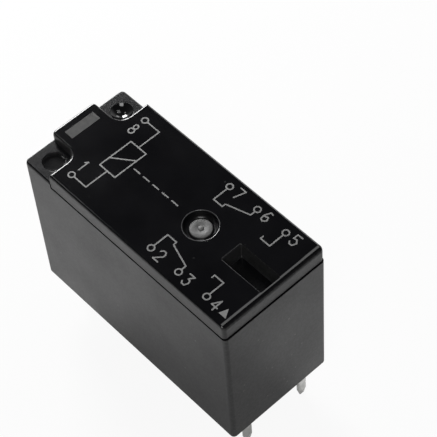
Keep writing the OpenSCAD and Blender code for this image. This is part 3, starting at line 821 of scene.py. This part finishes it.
def coverCap(band, topZ, partingZ, shape):
    footZ = partingZ + shape["grooveHeight"]
    foot = shape["bandFoot"]
    rings = [cornerRing(band, shape["grooveDepth"], z) for z in (partingZ - shape["lap"], footZ)]
    rings += [cornerRing(band, foot, footZ), cornerRing(band, 0, footZ + foot)]
    names = ["endRoll", "sideRoll", "notchEdgeRoll", "tongueSideRoll"]
    names += ["tongueEndRoll", "tongueSideRoll", "notchEdgeRoll", "sideRoll"]
    rolls = [shape[name] for name in names]
    return blank(loft(rings + rolledRings(band, topZ, rolls, steps=shape["capSteps"])))


def makeWellPlug(name, place, well):
    radius, count = well["radius"] - well["gap"], well["dishSteps"]
    rim, dip, power = (well[key][name] for key in ("rimDrop", "dishDepth", "dishPower"))
    dish = [(radius * i / count, -rim - dip * (1 - (i / count) ** power)) for i in range(count + 1)]
    bm = lathe([(0, -well["depth"]), (radius, -well["depth"])] + dish[::-1], place)
    addPiece(name + "WellPlug", bm, "sealingResin", "housing")


def makeGatePip(seat, gate):
    radius, rise = gate["pipRadius"], gate["pipHeight"]
    dome = [(radius * math.cos(a), rise * math.sin(a)) for a in gate["pipAngles"]]
    bm = lathe([(0, 0), (radius, 0)] + dome + [(0, rise)], seat, gate["pipTurns"])
    addPiece("gatePip", bm, "coverPlastic", "housing")


def makeCover(shape, well, gate):
    low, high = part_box("cover")
    over = shape["overCut"]
    notchX, notchZ = low.x + shape["notchLength"], high.z - shape["notchDepth"]
    partingZ = high.z - shape["bandHeight"]
    body = coverBody(low, high, notchZ, shape)
    trim = boxCorners(notchX, high.x + over, low.y - over, high.y + over, shape["bandFoot"])
    trimmed = plainBlock(trim, partingZ, notchZ + over)
    cap = coverCap(bandCorners(low, high, notchX, shape), high.z, partingZ, shape)
    middle = Vector((high.x - coverLook["gateFromEnd"], 0, high.z))
    recess = [(r * mm, -drop * mm) for r, drop in gate["section"]]
    wellX, wellY = notchX - well["fromNotchEnd"], shape["tongueWidth"] / 2 + well["fromTongue"]
    places = {name: Vector((wellX, side * wellY, notchZ)) for name, side in sides.items()}
    bore = [(0, -well["depth"]), (well["radius"], -well["depth"]), (well["radius"], -well["edgeRoll"])]
    cuts = [coverCavity(low, high, notchX, shape), pocketTool(high, pocketShape, over)]
    cuts.append(roundTool(middle, recess, gate["edgeRoll"], over))
    cuts += [roundTool(place, bore, well["edgeRoll"], over) for place in places.values()]
    steps = [("DIFFERENCE", trimmed), ("UNION", cap)] + [("DIFFERENCE", cut) for cut in cuts]
    addPiece("coverShell", carved(body, steps), "coverPlastic", "housing", ["cover"])
    for name, place in places.items():
        makeWellPlug(name, place, well)
    makeGatePip(middle + Vector((0, 0, recess[0][1])), gate)


makeCover(coverShape, wellShape, gateShape)
print("cover made")


# Base and sealing resin

baseShape = {"edge": (0.05 * mm, 2)}  # width and steps of the rounding

resinShape = {
    "spacing": 0.2 * mm,
    "clearOfEdge": 0.4,  # share of the spacing
    "levelWithin": 0.001 * mm,
    "weld": 0.002 * mm,
    "wallCreep": 0.14 * mm,
    "pinCreep": 0.3 * mm,
    "fade": 0.3 * mm,
    "lowest": 0.1 * mm,
}

pinNodes = [n for n in frame["nodes"] if "terminal" in n]


def pinBoxes():
    boxes = []
    for node in pinNodes:
        points = [v.co for v in frame["nodes"][node].data.vertices if v.co.z < 0]
        xs, ys = [p.x for p in points], [p.y for p in points]
        boxes.append((min(xs), max(xs), min(ys), max(ys)))
    return boxes


def lowerOutline(node, shape):
    bm = cadMesh(node)
    bottom = min(v.co.z for v in bm.verts)
    flat = {f for f in bm.faces if abs(f.calc_center_median().z - bottom) < shape["levelWithin"]}
    points, segments = [], []
    for edge in bm.edges:
        if len(flat.intersection(edge.link_faces)) != 1:
            continue
        a, b = edge.verts[0].co.xy, edge.verts[1].co.xy
        count = max(1, round((b - a).length / shape["spacing"]))
        for i in range(count):
            segments.append((len(points), len(points) + 1))
            points += [a.lerp(b, i / count), a.lerp(b, (i + 1) / count)]
    bm.free()
    return points, segments, bottom


def distanceTo(points, starts, ends):
    along = ends - starts
    share = ((points[:, None] - starts) * along).sum(2) / (along ** 2).sum(1)
    nearest = starts + np.clip(share, 0, 1)[..., None] * along
    return np.linalg.norm(points[:, None] - nearest, axis=2).min(1)


def insideOf(points, starts, ends):
    x, y = points[:, 0, None], points[:, 1, None]
    straddles = (starts[:, 1] > y) != (ends[:, 1] > y)
    rise = ends[:, 1] - starts[:, 1]
    rise = np.where(rise == 0, 1, rise)  # a level edge straddles nothing
    crossing = (ends[:, 0] - starts[:, 0]) * (y - starts[:, 1]) / rise + starts[:, 0]
    return (straddles & (x < crossing)).sum(1) % 2 == 1


def distanceToPins(points):
    nearest = np.full(len(points), np.inf)
    for x0, x1, y0, y1 in pinBoxes():
        aside = np.maximum(np.maximum(x0 - points[:, 0], points[:, 0] - x1), 0)
        across = np.maximum(np.maximum(y0 - points[:, 1], points[:, 1] - y1), 0)
        nearest = np.minimum(nearest, np.hypot(aside, across))
    return nearest


def makeResinPiece(shape):
    outline, segments, bottom = lowerOutline("sealing_resin", shape)
    low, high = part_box("sealing_resin")
    starts = np.array([outline[a] for a, b in segments])
    ends = np.array([outline[b] for a, b in segments])
    step = shape["spacing"]
    gridX, gridY = np.meshgrid(np.arange(low.x, high.x, step), np.arange(low.y, high.y, step))
    grid = np.stack([gridX.ravel(), gridY.ravel()], 1)
    grid = grid[insideOf(grid, starts, ends)]
    grid = grid[distanceTo(grid, starts, ends) > shape["clearOfEdge"] * step]
    flat = outline + [Vector(p) for p in grid]
    verts, edges, faces, *rest = delaunay_2d_cdt(flat, segments, [], 0, shape["weld"])
    points = np.array([v[:] for v in verts])
    middles = np.array([points[f].mean(0) for f in faces])
    faces = [f for f, kept in zip(faces, insideOf(middles, starts, ends)) if kept]
    atWalls = shape["wallCreep"] * np.exp(-distanceTo(points, starts, ends) / shape["fade"])
    atPins = shape["pinCreep"] * np.exp(-distanceToPins(points) / shape["fade"])
    face = np.maximum(bottom - (atWalls + atPins), shape["lowest"])
    bm = prism(points, faces, face, np.full(len(points), high.z))
    addPiece("sealingResin", bm, "sealingResin", "housing", ["sealing_resin"])


def softCopy(node, name, finish, edge, body):
    bm = cadMesh(node)
    softEdges(bm, *edge)
    addPiece(name, bm, finish, body, [node])


softCopy("base", "baseMoulding", "basePlastic", baseShape["edge"], "housing")
makeResinPiece(resinShape)
print("base and resin made")


# Coil

coilShape = {
    "flange": 0.8 * mm,
    "lip": 0.5 * mm,
    "tubeRadius": 3.1 * mm,
    "gap": 0.05 * mm,
    "wirePitch": 0.16 * mm,
    "wireCrown": 0.05 * mm,
    "crownSteps": 4,
    "turnSteps": 72,
    "leadRadius": 0.12 * mm,
    "leadDrop": 1.1 * mm,
    "wrapTurns": 3,
    "wrapRadius": 0.56 * mm,
    "wrapSteps": 20,
    "bobbinEdge": (0.12 * mm, 3),
    "coreEdge": (0.12 * mm, 3),
    "yokeEdge": (0.1 * mm, 3),
}


def leadPath(side, axis, outer, shape):
    postLow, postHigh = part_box("coil_terminal_" + side)
    post = (postLow + postHigh) / 2
    leadZ = postHigh.z - shape["leadDrop"]
    away = Vector((post.x - axis.x, post.y - axis.y, 0)).normalized()
    start = axis + away * (outer - 2 * shape["leadRadius"]) + Vector((0, 0, leadZ))
    turn = math.atan2(-away.y, -away.x)
    count = shape["wrapSteps"]
    wrap = []
    for i in range(shape["wrapTurns"] * count + 1):
        angle = turn + 2 * math.pi * i / count
        rise = 2 * shape["leadRadius"] * (i / count - shape["wrapTurns"] / 2)
        wrap.append(Vector((
            post.x + shape["wrapRadius"] * math.cos(angle),
            post.y + shape["wrapRadius"] * math.sin(angle),
            leadZ + rise,
        )))
    return [start, (start + wrap[0]) / 2] + wrap


def makeWinding(shape):
    low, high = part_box("bobbin")
    centre = (low + high) / 2
    axis = Vector((centre.x, centre.y, 0))
    outer = min(high.x - low.x, high.y - low.y) / 2 - shape["lip"]
    z0 = low.z + shape["flange"] + shape["gap"]
    z1 = high.z - shape["flange"] - shape["gap"]
    samples = shape["crownSteps"]
    count = round((z1 - z0) / shape["wirePitch"]) * samples
    profile = [(shape["tubeRadius"], z0)]
    for i in range(count + 1):
        crown = shape["wireCrown"] * (abs(math.sin(math.pi * i / samples)) - 1)
        profile.append((outer + crown, z0 + (z1 - z0) * i / count))
    profile += [(shape["tubeRadius"], z1), profile[0]]
    bm = lathe(profile, axis, shape["turnSteps"])
    bmesh.ops.remove_doubles(bm, verts=bm.verts, dist=meshRules["weld"])
    for side in sides:
        tube(bm, leadPath(side, axis, outer, shape), shape["leadRadius"])
    addPiece("copperWinding", bm, "copperWire", "housing", ["winding"])


softCopy("bobbin", "coilBobbin", "bobbinPlastic", coilShape["bobbinEdge"], "housing")
makeWinding(coilShape)
softCopy("core", "ironCore", "softIron", coilShape["coreEdge"], "housing")
softCopy("yoke", "ironYoke", "softIron", coilShape["yokeEdge"], "housing")
print("coil made")


# Armature, card and springs

def sliced(bm, axis, low, high, count):
    for i in range(count + 1):
        place = Vector((0, 0, 0))
        place[axis] = low + (high - low) * i / count
        normal = Vector((0, 0, 0))
        normal[axis] = 1
        everything = bm.verts[:] + bm.edges[:] + bm.faces[:]
        bmesh.ops.bisect_plane(bm, geom=everything, plane_co=place, plane_no=normal)


plateShape = {"armatureEdge": (0.1 * mm, 3), "cardEdge": (0.08 * mm, 2)}

springShape = {
    "edge": (0.03 * mm, 2),
    "slices": 14,
    "bendBelow": 0.8 * mm,
    "bendAbove": 2.6 * mm,
    "hingeEnds": 0.2 * mm,
}


def makeMovingSpring(side, shape):
    joint = next(j for j in frame["joints"] if j["name"] == side + "_spring_flex")
    pivot = Vector(joint["pos_m"])
    start, end = pivot.copy(), pivot.copy()
    start.z -= shape["bendBelow"]
    end.z += shape["bendAbove"]
    bm = cadMesh("moving_spring_" + side)
    softEdges(bm, *shape["edge"])
    sliced(bm, 2, start.z, end.z, shape["slices"])
    name = side + "MovingSpring"
    piece = addPiece(name, bm, "springBronze", None, ["moving_spring_" + side])
    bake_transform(piece)


def makeHingeSpring(shape):
    low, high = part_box("hinge_spring")
    bm = cadMesh("hinge_spring")
    softEdges(bm, *shape["edge"])
    inset = shape["hingeEnds"]
    start, end = Vector((low.x + inset, 0, low.z)), Vector((high.x - inset, 0, low.z))
    sliced(bm, 0, start.x, end.x, shape["slices"])
    piece = addPiece("hingeSpring", bm, "springBronze", None, ["hinge_spring"])
    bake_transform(piece)


softCopy("armature", "ironArmature", "softIron", plateShape["armatureEdge"], "armature")
softCopy("card", "slidingCard", "cardPlastic", plateShape["cardEdge"], "card")
makeHingeSpring(springShape)
print("armature, hinge spring and card made")


# Contacts and terminals

contactShape = {"contactEdge": (0.06 * mm, 2), "terminalEdge": (0.07 * mm, 3)}


def makeContact(kind, side, body):
    name = side + kind.capitalize() + "Contact"
    edge = contactShape["contactEdge"]
    softCopy(f"{kind}_contact_{side}", name, "contactSilver", edge, body)


def makeTerminal(kind, side):
    name = side + kind.capitalize() + "Terminal"
    edge = contactShape["terminalEdge"]
    softCopy(f"{kind}_terminal_{side}", name, "tinnedTerminal", edge, "housing")


for side in sides:
    makeMovingSpring(side, springShape)
    makeContact("moving", side, side + "_spring")
    for kind in ("nc", "no"):
        makeContact(kind, side, "housing")
    for kind in ("nc", "com", "no", "coil"):
        makeTerminal(kind, side)
print("contacts and terminals made")


# Printed marks on the top face, in mm from its middle

printShape = {
    "line": 0.15,
    "height": 0.012,
    "digitHeight": 1.25,
    "digitWidth": 0.72,
    "bar": (-13.4, -12.25, -1.8, 1.8),
    "triangle": [(12.52, -5.43), (13.45, -5.42), (12.89, -4.5)],
    "coil": (-7.9, -5.7, -2.0, 2.0),
    "coilPin": (-8.9, 4.7),
    "contactPins": (2.9, 6.7, 10.5),
    "contactPinY": 5.0,
    "contactY": 2.9,
    "ring": 0.34,
    "slashInset": 1.2,
    "dash": 0.8,
    "dashGap": 0.55,
    "dashEnd": 2.0,
    "arm": (1.2, 0.35),
    "bladeRise": 1.2,
    "bladeTip": (1.3, 0.42),
    "coilDigitGap": 1.5,
    "contactDigitGap": 1.25,
    "capStep": 30,  # degrees along a stroke's round end
    "weld": 0.001,
}

digitStrokes = {
    "1": [[(0.2, 0.78), (0.55, 1), (0.55, 0)]],
    "2": [[(0.05, 0.8), (0.3, 1), (0.75, 1), (0.95, 0.8), (0.95, 0.6), (0.05, 0), (1, 0)]],
    "3": [[
        (0.05, 1), (0.95, 1), (0.45, 0.6), (0.8, 0.55), (0.95, 0.3), (0.7, 0), (0.25, 0), (0.05, 0.18),
    ]],
    "4": [[(0.7, 0), (0.7, 1), (0, 0.32), (1, 0.32)]],
    "5": [[
        (0.95, 1), (0.12, 1), (0.08, 0.55), (0.6, 0.62), (0.95, 0.35), (0.7, 0), (0.25, 0), (0.02, 0.16),
    ]],
    "6": [[
        (0.85, 0.95), (0.45, 1), (0.05, 0.5), (0.1, 0.1), (0.5, 0), (0.95, 0.25), (0.7, 0.55), (0.1, 0.4),
    ]],
    "7": [[(0.02, 1), (1, 1), (0.4, 0)]],
    "8": [
        [
            (0.5, 0.53), (0.25, 0.6), (0.16, 0.76), (0.25, 0.92), (0.5, 1),
            (0.75, 0.92), (0.84, 0.76), (0.75, 0.6), (0.5, 0.53),
        ],
        [
            (0.5, 0.53), (0.2, 0.45), (0.06, 0.27), (0.2, 0.08), (0.5, 0),
            (0.8, 0.08), (0.94, 0.27), (0.8, 0.45), (0.5, 0.53),
        ],
    ],
}


def strokeFaces(path, shape):
    faces = []
    for a, b in zip(path, path[1:]):
        a, b = Vector(a), Vector(b)
        turn = math.atan2(b.y - a.y, b.x - a.x)
        caps = []
        for centre, first in ((b, -90), (a, 90)):
            for degrees in range(first, first + 181, shape["capStep"]):
                angle = turn + math.radians(degrees)
                caps.append(centre + shape["line"] / 2 * Vector((math.cos(angle), math.sin(angle))))
        faces.append(caps)
    return faces


def ringPath(x, y, radius, steps=20):
    angles = [2 * math.pi * i / steps for i in range(steps + 1)]
    return [(x + radius * math.cos(a), y + radius * math.sin(a)) for a in angles]


def digitPaths(digit, x, y, shape):
    wide, tall = shape["digitWidth"], shape["digitHeight"]
    return [[(x + wide * (u - 0.5), y + tall * (v - 0.5)) for u, v in path] for path in digitStrokes[digit]]


def sidePaths(side, numbers, shape):
    x0, x1, y0, y1 = shape["coil"]
    middle = (x0 + x1) / 2
    pinX, pinY = shape["coilPin"]
    near, common, far = shape["contactPins"]
    rim, level, ring = side * shape["contactPinY"], side * shape["contactY"], shape["ring"]
    start = rim - side * ring
    paths = [ringPath(pinX, side * pinY, ring)]
    paths.append([(pinX + ring, side * pinY), (middle, side * pinY), (middle, side * y1)])
    paths += [ringPath(x, rim, ring) for x in shape["contactPins"]]
    reach, tip = shape["arm"]
    for x, end in ((near, near + reach), (far, far - reach)):
        paths.append([(x, start), (x, level), (end, level), (end, level + side * tip)])
    bladeX, bladeY = shape["bladeTip"]
    bend = (common, level + side * shape["bladeRise"])
    paths.append([(common, start), bend, (near + bladeX, level + side * bladeY)])
    places = [(pinX, side * (pinY - shape["coilDigitGap"]))]
    places += [(x + shape["contactDigitGap"], rim) for x in shape["contactPins"]]
    for digit, (x, y) in zip(numbers, places):
        paths += digitPaths(digit, x, y, shape)
    return paths


def diagramPaths(shape):
    x0, x1, y0, y1 = shape["coil"]
    slash, dash = shape["slashInset"], shape["dash"]
    paths = [[(x0, y0), (x1, y0), (x1, y1), (x0, y1), (x0, y0)], [(x0, y0 + slash), (x1, y1 - slash)]]
    x = x1 + shape["dashGap"]
    while x + dash < shape["dashEnd"]:
        paths.append([(x, 0), (x + dash, 0)])
        x += dash + shape["dashGap"]
    return paths + sidePaths(1, "8765", shape) + sidePaths(-1, "1234", shape)


def inkedFaces(shape):
    paths = diagramPaths(shape)
    points, faces = [], []
    for outline in [face for path in paths for face in strokeFaces(path, shape)]:
        faces.append(list(range(len(points), len(points) + len(outline))))
        points += outline
    verts, edges, triangles, *rest = delaunay_2d_cdt(points, [], faces, 1, shape["weld"])
    flat = np.array([v[:] for v in verts])
    middles = np.array([flat[t].mean(0) for t in triangles])
    starts = np.array([a for path in paths for a in path[:-1]])
    ends = np.array([b for path in paths for b in path[1:]])
    near = distanceTo(middles, starts, ends) < shape["line"] / 2  # leaves the loops open
    inked = [t for t, kept in zip(triangles, near) if kept]
    inked.append(list(range(len(flat), len(flat) + 3)))
    return [tuple(p) for p in flat] + shape["triangle"], inked


def makeMark(name, finish, outline, faces, shape):
    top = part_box("cover")[1].z
    scaled = [(x * mm, y * mm) for x, y in outline]
    count = len(scaled)
    bm = prism(scaled, faces, [top] * count, [top + shape["height"] * mm] * count)
    addPiece(name, bm, finish, "housing")


def makePrint(shape):
    makeMark("topPrint", "printInk", *inkedFaces(shape), shape)
    x0, x1, y0, y1 = shape["bar"]
    bar = [(x0, y0), (x1, y0), (x1, y1), (x0, y1)]
    makeMark("endBar", "barInk", bar, [[0, 1, 2, 3]], shape)


makePrint(printShape)
print("print made")


# Camera at the photograph's angle

cameraView = {
    "place": (79.161 * mm, -58.222 * mm, 150.661 * mm),
    "forward": (-0.45914, 0.37035, -0.80748),
    "right": (0.6804, 0.73102, -0.0516),
    "focalPixels": 1732.6,
    "imagePixels": 437,
    "sensor": 36,
    "clip": (0.005, 20),
}


def makeCamera(view):
    data = bpy.data.cameras.new("photoCamera")
    data.sensor_width = view["sensor"]
    data.lens = view["focalPixels"] / view["imagePixels"] * view["sensor"]
    data.clip_start, data.clip_end = view["clip"]
    camera = linked("photoCamera", data)
    back = -Vector(view["forward"]).normalized()
    upward = back.cross(Vector(view["right"])).normalized()
    turn = Matrix((upward.cross(back), upward, back)).transposed()
    camera.matrix_world = Matrix.Translation(view["place"]) @ turn.to_4x4()
    scene.camera = camera


makeCamera(cameraView)
print("camera set")


# Floor, backdrop and lamps

stageLook = {
    "floorHalf": 3.0,
    "floorColor": (0.55, 0.55, 0.55, 1),
    "floorGlow": 0.92,
    "floorGlowGlossy": 0.12,
    "ceiling": 0.04,
    "backdrop": 0.8,
    "backdropToward": (-0.55, 0.83, 0.0),
    "backdropSides": (0.1, 0.8),
    "backdropTop": (0.7, 0.25),
}


def makeFloor(look):
    material = bpy.data.materials.new("paleFloor")
    tree = emptyTree(material)
    path = addNode(tree, "ShaderNodeLightPath").outputs
    seen = times(tree, path["Is Camera Ray"], look["floorGlow"])
    other = calc(tree, "MAXIMUM", path["Is Glossy Ray"], path["Is Transmission Ray"])
    share = calc(tree, "MAXIMUM", seen, times(tree, other, look["floorGlowGlossy"]))
    matte = addNode(tree, "ShaderNodeBsdfDiffuse", {"Color": look["floorColor"]}).outputs[0]
    glow = addNode(tree, "ShaderNodeEmission", {"Color": (1, 1, 1, 1), "Strength": 1.0}).outputs[0]
    surface = addNode(tree, "ShaderNodeMixShader", {0: share, 1: matte, 2: glow}).outputs[0]
    clear = addNode(tree, "ShaderNodeBsdfTransparent").outputs[0]
    under = addNode(tree, "ShaderNodeNewGeometry").outputs["Backfacing"]
    shown = addNode(tree, "ShaderNodeMixShader", {0: under, 1: surface, 2: clear}).outputs[0]
    addNode(tree, "ShaderNodeOutputMaterial", {"Surface": shown})
    half = look["floorHalf"]
    level = cadBox[0].z
    mesh = bpy.data.meshes.new("floor")
    corners = [(-half, -half, level), (half, -half, level), (half, half, level), (-half, half, level)]
    mesh.from_pydata(corners, [], [(0, 1, 2, 3)])
    mesh.materials.append(material)
    floor = linked("floor", mesh)


def makeWorld(look):
    scene.world = bpy.data.worlds.new("studio")
    tree = emptyTree(scene.world)
    direction = addNode(tree, "ShaderNodeTexCoord").outputs["Generated"]
    height = addNode(tree, "ShaderNodeSeparateXYZ", {0: direction}).outputs["Z"]
    toward = vectorCalc(tree, "DOT_PRODUCT", direction, look["backdropToward"])
    across = remap(tree, toward, *look["backdropSides"], smooth=True)
    below = remap(tree, height, *look["backdropTop"], smooth=True)
    share = times(tree, across, below)
    strength = remap(tree, share, 0.0, 1.0, look["ceiling"], look["backdrop"])
    lit = addNode(tree, "ShaderNodeBackground", {"Color": (1, 1, 1, 1), "Strength": strength})
    white = addNode(tree, "ShaderNodeBackground", {"Color": (1, 1, 1, 1), "Strength": 1.0})
    camera = addNode(tree, "ShaderNodeLightPath").outputs["Is Camera Ray"]
    shown = addNode(tree, "ShaderNodeMixShader", {0: camera, 1: lit.outputs[0], 2: white.outputs[0]})
    addNode(tree, "ShaderNodeOutputWorld", {"Surface": shown.outputs[0]})


lamps = {
    "leftBox": {"toward": (-0.82, 0.31, 0.53), "reach": 0.22, "size": 0.08, "watts": 0.72},
    "topBox": {"toward": (0.1, 0.37, 0.92), "reach": 0.45, "size": 0.17, "watts": 0.2},
    "frontTopBox": {"toward": (-0.55, -0.08, 0.83), "reach": 0.45, "size": 0.06, "watts": 0.06},
    "backBox": {"toward": (-0.42, 0.78, 0.46), "reach": 0.5, "size": 0.12, "watts": 0.16},
    "fillBox": {"toward": (0.45, -0.45, 0.77), "reach": 0.45, "size": 0.2, "watts": 0.75},
}


def makeLamp(name, lamp):
    data = bpy.data.lights.new(name, "AREA")
    data.shape = "SQUARE"
    data.size = lamp["size"]
    data.energy = lamp["watts"]
    light = linked(name, data)
    toward = Vector(lamp["toward"]).normalized()
    light.location = toward * lamp["reach"]
    light.rotation_mode = "QUATERNION"
    light.rotation_quaternion = toward.to_track_quat("Z", "Y")
    light.visible_camera = False


makeFloor(stageLook)
makeWorld(stageLook)
for lampName, lamp in lamps.items():
    makeLamp(lampName, lamp)
print("stage made:", len(lamps), "lamps")
